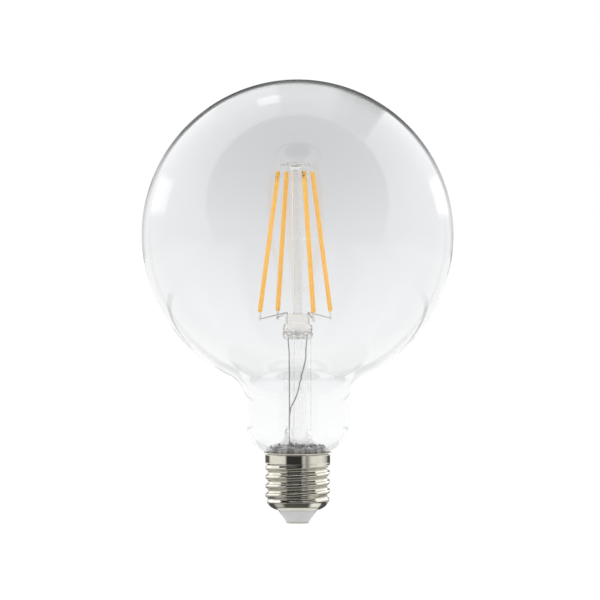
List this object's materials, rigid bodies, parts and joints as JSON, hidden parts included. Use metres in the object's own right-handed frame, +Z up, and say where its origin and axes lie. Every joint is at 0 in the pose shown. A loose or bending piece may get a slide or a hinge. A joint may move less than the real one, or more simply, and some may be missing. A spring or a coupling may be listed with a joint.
{
  "type": "globe bulb",
  "caption": "Clear glass globe lamp with light-emitting filaments on a glass stem and an E27 screw cap.",
  "frame": {"origin": "middle of the centre contact's flat lower face, at the bottom of the cap", "axes": "+Z up along the lamp's axis from cap to globe, -Y towards the front, +X to the right"},
  "size_m": [0.125, 0.125, 0.178],
  "materials": {
    "clear_glass": "clear blown soda glass, smooth",
    "stem_glass": "clear tube, milky where the press was pinched",
    "bright_wire": "drawn nickel wire, dull bright",
    "nickel": "nickel plate on thin brass, bright with fine drawing marks",
    "insulator": "grey-white, satin",
    "cement": "baked basing cement, matt",
    "sleeve_plastic": "white moulded plastic",
    "board": "green laminate",
    "capacitor_can": "sleeved can",
    "ferrite": "sintered, matt",
    "resistor_body": "lacquered body",
    "package": "moulded package",
    "driver_wire": "insulated wire",
    "phosphor": "silicone filled with yellow phosphor, satin",
    "carrier": "white ceramic strip",
    "chips": "small semiconductor chips",
    "terminal": "stamped tin-plated strip"
  },
  "bodies": {
    "root": {"basing_cement": "cement", "bridge_rectifier": "package", "cap_insulator": "insulator", "cap_shell": "nickel", "centre_contact": "nickel", "chip_resistors": "package", "contact_pin": "nickel", "driver_board": "board", "driver_chip": "package", "driver_sleeve": "sleeve_plastic", "exhaust_tube": "clear_glass", "filament_1_chips": "chips", "filament_1_coat": "phosphor", "filament_1_foot": "terminal", "filament_1_head": "terminal", "filament_1_strip": "carrier", "filament_2_chips": "chips", "filament_2_coat": "phosphor", "filament_2_foot": "terminal", "filament_2_head": "terminal", "filament_2_strip": "carrier", "filament_3_chips": "chips", "filament_3_coat": "phosphor", "filament_3_foot": "terminal", "filament_3_head": "terminal", "filament_3_strip": "carrier", "filament_4_chips": "chips", "filament_4_coat": "phosphor", "filament_4_foot": "terminal", "filament_4_head": "terminal", "filament_4_strip": "carrier", "fuse_resistor": "resistor_body", "glass_globe": "clear_glass", "inductor": "ferrite", "inner_lead_1": "bright_wire", "inner_lead_2": "bright_wire", "inner_lead_3": "bright_wire", "inner_lead_4": "bright_wire", "live_wire": "driver_wire", "neutral_wire": "driver_wire", "outer_lead_left": "bright_wire", "outer_lead_right": "bright_wire", "stem_flare": "stem_glass", "storage_capacitor": "capacitor_can", "support_column": "clear_glass", "top_wire_back": "bright_wire", "top_wire_front": "bright_wire"}
  },
  "joints": []
}
